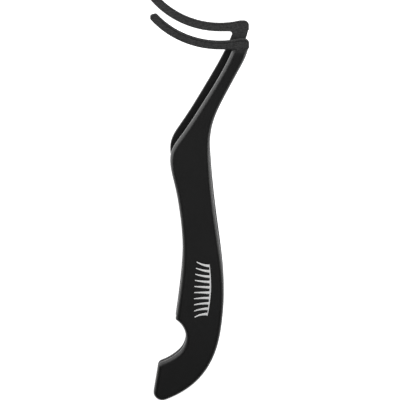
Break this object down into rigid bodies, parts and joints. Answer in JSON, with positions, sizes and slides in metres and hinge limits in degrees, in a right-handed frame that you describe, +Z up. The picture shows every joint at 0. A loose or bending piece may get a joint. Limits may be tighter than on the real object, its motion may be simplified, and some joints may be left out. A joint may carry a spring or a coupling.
{
  "type": "tweezer-type eyelash curler",
  "caption": "Tweezer-type eyelash curler: slim black sprung arms joined at the tail, with eyelid-curved jaws, a silicone pad and a finger notch.",
  "frame": {"origin": "under the middle of the tool, on the plane that the lower arm's flat outer face rests on", "axes": "+Z up from the rest face, +Y from the tail towards the jaws, +X away from the jaws' free tips"},
  "size_m": [0.03, 0.1301, 0.0191],
  "materials": {
    "arm_plastic": "matt black, soft to the touch",
    "pad_silicone": "matt silicone",
    "pin_steel": "ground",
    "print_ink": "pale printed ink"
  },
  "bodies": {
    "lower_half": {"lower_arm": "arm_plastic", "tail_pins": "pin_steel"},
    "upper_half": {"upper_arm": "arm_plastic", "jaw_pad": "pad_silicone"}
  },
  "joints": [
    {"name": "squeeze", "type": "hinge", "parent": "lower_half", "child": "upper_half", "pos_m": [0, -0.0559, 0.00215], "axis": [-1, 0, 0], "range_deg": [0, 6.9], "stiffness_Nm_per_rad": 0.5}
  ]
}
